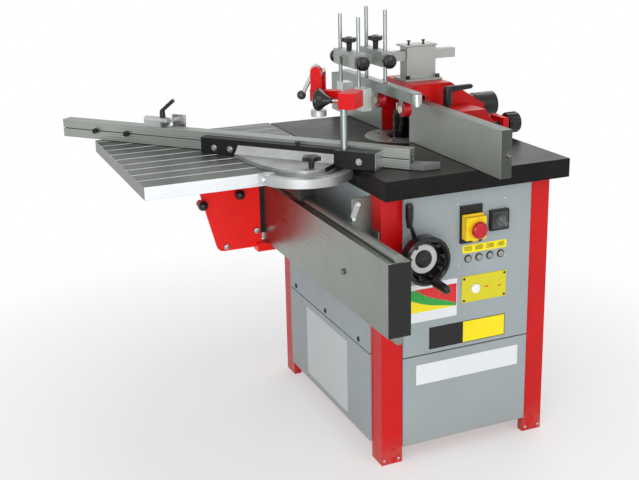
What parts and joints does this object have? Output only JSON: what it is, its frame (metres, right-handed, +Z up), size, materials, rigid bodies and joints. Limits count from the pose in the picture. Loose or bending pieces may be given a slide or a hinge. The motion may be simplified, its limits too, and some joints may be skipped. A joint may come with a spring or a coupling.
{
  "type": "spindle moulder",
  "caption": "Floor-standing spindle moulder: steel cabinet, cast table with vertical spindle, guarded fence, hold-downs, sliding table with mitre fence and quick clamp.",
  "frame": {"origin": "on the floor, under the middle of the whole machine's box", "axes": "+X to the operator's right, +Y away from the operator, +Z up"},
  "size_m": [1.2662, 1.3036, 1.263],
  "materials": {
    "red_enamel": "gloss enamel",
    "grey_enamel": "satin enamel",
    "cast_table": "ground and browned top, black painted edge",
    "ring_steel": "ground",
    "dark_casting": "painted",
    "steel": "turned",
    "chrome": "bright plated",
    "black_steel": "black oxide",
    "aluminium": "anodised",
    "cast_aluminium": "as cast, machined faces",
    "black_plastic": "moulded",
    "yellow_plastic": "moulded",
    "red_plastic": "moulded",
    "white_plastic": "moulded",
    "rubber": "belt",
    "motor_grey": "painted"
  },
  "bodies": {
    "frame": {"cabinet_frame": "red_enamel", "cabinet_covers": "grey_enamel", "control_panel": "grey_enamel", "panel_hardware": "black_steel", "main_table": "cast_table", "insert_rings": "ring_steel", "quill_guide": "dark_casting", "fence_hood": "red_enamel", "dust_port": "black_plastic", "tube_bracket": "cast_aluminium", "guide_beam": "aluminium", "beam_fittings": "steel", "panel_controls": "black_plastic"},
    "spindle_unit": {"quill": "steel", "spindle_bearings": "chrome", "motor_carrier": "dark_casting", "motor_body": "motor_grey", "drive_belt": "rubber"},
    "spindle": {"spindle_shaft": "steel", "spindle_spacers": "black_steel"},
    "motor_rotor": {"motor_pulley": "steel"},
    "lift_screw": {"lift_screw": "steel"},
    "handwheel": {"handwheel": "black_plastic"},
    "crank_handle": {"crank_handle": "black_plastic"},
    "lock_lever": {"lock_lever": "black_plastic"},
    "fence_left": {"fence_plate_left": "aluminium"},
    "fence_carrier": {"fence_carrier": "red_enamel"},
    "fence_right": {"fence_plate_right": "aluminium"},
    "adjust_knob": {"adjust_knob": "black_plastic"},
    "fence_lever": {"fence_lever": "black_plastic"},
    "hold_arm": {"hold_tube": "aluminium"},
    "press_shoe": {"presser_shoe": "aluminium"},
    "press_rollers": {"roller_beam": "aluminium"},
    "roller_left": {"roller_left": "red_plastic"},
    "roller_right": {"roller_right": "red_plastic"},
    "star_knob_front": {"star_knob_front": "black_plastic"},
    "star_knob_rear": {"star_knob_rear": "black_plastic"},
    "round_knob_front_left": {"round_knob_front_left": "black_plastic"},
    "round_knob_front_right": {"round_knob_front_right": "black_plastic"},
    "round_knob_rear": {"round_knob_rear": "black_plastic"},
    "sliding_table": {"sliding_table": "aluminium", "quadrant": "cast_aluminium", "carriage": "red_enamel"},
    "plunger_front": {"plunger_front": "black_plastic"},
    "plunger_rear": {"plunger_rear": "black_plastic"},
    "mitre_body": {"mitre_carrier": "dark_casting"},
    "mitre_fence": {"mitre_fence": "aluminium"},
    "mitre_knob": {"mitre_knob": "black_plastic"},
    "stop_block": {"stop_block": "cast_aluminium"},
    "stop_plate": {"stop_plate": "steel"},
    "stop_lever": {"stop_lever": "black_plastic"},
    "clamp_post": {"clamp_post": "chrome"},
    "clamp_arm": {"clamp_arm": "red_enamel"},
    "arm_knob": {"arm_knob": "black_plastic"},
    "cam_lever": {"cam_lever": "chrome"},
    "clamp_pad": {"clamp_pad": "cast_aluminium"},
    "switch_flap": {"switch_flap": "yellow_plastic"},
    "stop_button": {"stop_button": "red_plastic"},
    "selector_knob": {"selector_knob": "black_plastic"},
    "push_button": {"push_button": "white_plastic"}
  },
  "joints": [
    {"name": "handwheel_turn", "type": "hinge", "parent": "frame", "child": "handwheel", "pos_m": [0.26606, 0.11775, 0.636], "axis": [1, 0, 0], "range_deg": [-5761, 1441]},
    {"name": "quill_lift", "type": "slide", "parent": "frame", "child": "spindle_unit", "axis": [0, 0, 1], "range_m": [-0.08, 0.02]},
    {"name": "lift_screw_turn", "type": "hinge", "parent": "frame", "child": "lift_screw", "pos_m": [0.00606, 0.11775, 0.5], "axis": [0, 0, 1], "range_deg": [-5761, 1441]},
    {"name": "spindle_spin", "type": "hinge", "parent": "spindle_unit", "child": "spindle", "pos_m": [-0.12494, 0.31575, 0.7], "axis": [0, 0, 1], "continuous": true},
    {"name": "motor_spin", "type": "hinge", "parent": "spindle_unit", "child": "motor_rotor", "pos_m": [0.11606, 0.34775, 0.54], "axis": [0, 0, 1], "continuous": true},
    {"name": "crank_spin", "type": "hinge", "parent": "handwheel", "child": "crank_handle", "pos_m": [0.44706, 0.13484, 0.5764], "axis": [1, 0, 0], "continuous": true},
    {"name": "lock_lever_turn", "type": "hinge", "parent": "frame", "child": "lock_lever", "pos_m": [0.36406, 0.11775, 0.636], "axis": [1, 0, 0], "range_deg": [-25, 25]},
    {"name": "fence_left_slide", "type": "slide", "parent": "frame", "child": "fence_left", "axis": [1, 0, 0], "range_m": [-0.12, 0]},
    {"name": "adjust_turn", "type": "hinge", "parent": "frame", "child": "adjust_knob", "pos_m": [0.02606, 0.61375, 0.898], "axis": [0, 1, 0], "range_deg": [-1801, 1801]},
    {"name": "fence_micro", "type": "slide", "parent": "frame", "child": "fence_carrier", "axis": [0, 1, 0], "range_m": [-0.01, 0.01]},
    {"name": "fence_right_slide", "type": "slide", "parent": "fence_carrier", "child": "fence_right", "axis": [1, 0, 0], "range_m": [-0.06, 0.08]},
    {"name": "fence_lever_turn", "type": "hinge", "parent": "fence_carrier", "child": "fence_lever", "pos_m": [0.02106, 0.40115, 1], "axis": [0, 0, 1], "range_deg": [-80, 10]},
    {"name": "hold_arm_slide", "type": "slide", "parent": "frame", "child": "hold_arm", "axis": [0, 1, 0], "range_m": [-0.04, 0.04]},
    {"name": "shoe_lift", "type": "slide", "parent": "hold_arm", "child": "press_shoe", "axis": [0, 0, 1], "range_m": [-0.08, 0.04]},
    {"name": "roller_lift", "type": "slide", "parent": "hold_arm", "child": "press_rollers", "axis": [0, 0, 1], "range_m": [-0.08, 0.04]},
    {"name": "roller_left_spin", "type": "hinge", "parent": "press_rollers", "child": "roller_left", "pos_m": [-0.09594, 0.22875, 0.985], "axis": [0, 1, 0], "continuous": true},
    {"name": "roller_right_spin", "type": "hinge", "parent": "press_rollers", "child": "roller_right", "pos_m": [0.07106, 0.22875, 0.985], "axis": [0, 1, 0], "continuous": true},
    {"name": "star_front_turn", "type": "hinge", "parent": "hold_arm", "child": "star_knob_front", "pos_m": [-0.12494, 0.13975, 1.18], "axis": [0, 0, 1], "range_deg": [-180, 180]},
    {"name": "star_rear_turn", "type": "hinge", "parent": "hold_arm", "child": "star_knob_rear", "pos_m": [-0.12494, 0.22875, 1.18], "axis": [0, 0, 1], "range_deg": [-180, 180]},
    {"name": "round_front_left_turn", "type": "hinge", "parent": "hold_arm", "child": "round_knob_front_left", "pos_m": [-0.22294, 0.13975, 1.112], "axis": [1, 0, 0], "range_deg": [-180, 180]},
    {"name": "round_front_right_turn", "type": "hinge", "parent": "hold_arm", "child": "round_knob_front_right", "pos_m": [-0.02694, 0.13975, 1.112], "axis": [1, 0, 0], "range_deg": [-180, 180]},
    {"name": "round_rear_turn", "type": "hinge", "parent": "hold_arm", "child": "round_knob_rear", "pos_m": [-0.02694, 0.22875, 1.112], "axis": [1, 0, 0], "range_deg": [-180, 180]},
    {"name": "table_slide", "type": "slide", "parent": "frame", "child": "sliding_table", "axis": [1, 0, 0], "range_m": [-0.25, 0.45]},
    {"name": "plunger_front_pull", "type": "slide", "parent": "sliding_table", "child": "plunger_front", "axis": [1, 0, 0], "range_m": [0, 0.012], "stiffness_N_per_m": 400},
    {"name": "plunger_rear_pull", "type": "slide", "parent": "sliding_table", "child": "plunger_rear", "axis": [1, 0, 0], "range_m": [0, 0.012], "stiffness_N_per_m": 400},
    {"name": "mitre_turn", "type": "hinge", "parent": "sliding_table", "child": "mitre_body", "pos_m": [0.12106, -0.11725, 0.86], "axis": [0, 0, 1], "range_deg": [-41, 10]},
    {"name": "mitre_fence_slide", "type": "slide", "parent": "mitre_body", "child": "mitre_fence", "axis": [0.7547, 0.6561, 0], "range_m": [-0.15, 0.03]},
    {"name": "mitre_knob_turn", "type": "hinge", "parent": "mitre_body", "child": "mitre_knob", "pos_m": [0.18127, -0.11791, 0.89], "axis": [0, 0, 1], "range_deg": [-180, 180]},
    {"name": "stop_slide", "type": "slide", "parent": "mitre_fence", "child": "stop_block", "axis": [0.7547, 0.6561, 0], "range_m": [-0.28, 0.04]},
    {"name": "stop_flip", "type": "hinge", "parent": "stop_block", "child": "stop_plate", "pos_m": [-0.33004, -0.38483, 0.935], "axis": [0.7547, 0.6561, 0], "range_deg": [0, 45]},
    {"name": "stop_lever_turn", "type": "hinge", "parent": "stop_block", "child": "stop_lever", "pos_m": [-0.3406, -0.39402, 0.965], "axis": [0, 0, 1], "range_deg": [-30, 30]},
    {"name": "clamp_post_turn", "type": "hinge", "parent": "mitre_body", "child": "clamp_post", "pos_m": [0.17154, -0.01374, 0.95], "axis": [0, 0, 1], "range_deg": [-60, 60]},
    {"name": "clamp_arm_slide", "type": "slide", "parent": "clamp_post", "child": "clamp_arm", "axis": [0, 0, 1], "range_m": [-0.068, 0.015]},
    {"name": "arm_knob_turn", "type": "hinge", "parent": "clamp_arm", "child": "arm_knob", "pos_m": [0.16218, -0.08681, 1.056], "axis": [0.7547, 0.6561, 0], "range_deg": [-180, 180]},
    {"name": "cam_turn", "type": "hinge", "parent": "clamp_arm", "child": "cam_lever", "pos_m": [0.11343, -0.06426, 1.124], "axis": [-0.6561, 0.7547, 0], "range_deg": [0, 90]},
    {"name": "pad_press", "type": "slide", "parent": "clamp_arm", "child": "clamp_pad", "axis": [0, 0, 1], "range_m": [-0.0095, 0]},
    {"name": "flap_lift", "type": "hinge", "parent": "frame", "child": "switch_flap", "pos_m": [0.36046, 0.29275, 0.727], "axis": [0, 1, 0], "range_deg": [-100, 0]},
    {"name": "stop_press", "type": "slide", "parent": "switch_flap", "child": "stop_button", "axis": [1, 0, 0], "range_m": [-0.005, 0], "stiffness_N_per_m": 800},
    {"name": "selector_turn", "type": "hinge", "parent": "frame", "child": "selector_knob", "pos_m": [0.36706, 0.38275, 0.701], "axis": [1, 0, 0], "range_deg": [0, 90]},
    {"name": "push_press", "type": "slide", "parent": "frame", "child": "push_button", "axis": [1, 0, 0], "range_m": [-0.005, 0], "stiffness_N_per_m": 600}
  ],
  "couplings": [
    {"joint": "handwheel_turn", "follows": "quill_lift", "rad_per_m": 1256.6},
    {"joint": "lift_screw_turn", "follows": "quill_lift", "rad_per_m": 1256.6},
    {"joint": "motor_spin", "follows": "spindle_spin", "ratio": 0.68},
    {"joint": "adjust_turn", "follows": "fence_micro", "rad_per_m": 3141.6},
    {"joint": "pad_press", "follows": "cam_turn", "m_per_rad": -0.006}
  ]
}
